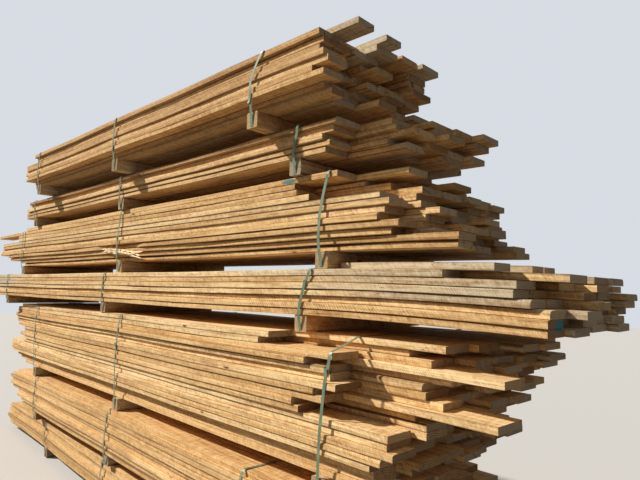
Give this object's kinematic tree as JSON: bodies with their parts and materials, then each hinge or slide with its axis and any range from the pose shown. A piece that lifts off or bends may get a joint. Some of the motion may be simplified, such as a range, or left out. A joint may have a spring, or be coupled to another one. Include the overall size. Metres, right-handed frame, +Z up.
{
  "type": "stack of lumber",
  "caption": "Tall column of strapped bundles of rough-sawn boards with staggered ends, stacked on bearers that leave fork gaps between them.",
  "frame": {"origin": "on the floor, below the middle of the column's overall box", "axes": "+X along the boards to the more ragged end, +Y from the near long face to the far one, +Z up"},
  "size_m": [6.4662, 1.4956, 2.9076],
  "materials": {
    "sawn_timber": "rough-sawn, unplaned",
    "bearer_timber": "rough-sawn, weathered",
    "strap_plastic": "green polyester strapping, slight sheen"
  },
  "bodies": {
    "root": {"bundle_1_bearers": "bearer_timber", "bundle_1_boards": "sawn_timber", "bundle_1_straps": "strap_plastic", "bundle_2_bearers": "bearer_timber", "bundle_2_boards": "sawn_timber", "bundle_2_straps": "strap_plastic", "bundle_3_bearers": "bearer_timber", "bundle_3_boards": "sawn_timber", "bundle_3_straps": "strap_plastic", "bundle_4_bearers": "bearer_timber", "bundle_4_boards": "sawn_timber", "bundle_4_straps": "strap_plastic", "bundle_5_bearers": "bearer_timber", "bundle_5_boards": "sawn_timber", "bundle_5_straps": "strap_plastic", "bundle_6_bearers": "bearer_timber", "bundle_6_boards": "sawn_timber", "bundle_6_straps": "strap_plastic", "bundle_7_bearers": "bearer_timber", "bundle_7_boards": "sawn_timber", "bundle_7_straps": "strap_plastic"}
  },
  "joints": []
}
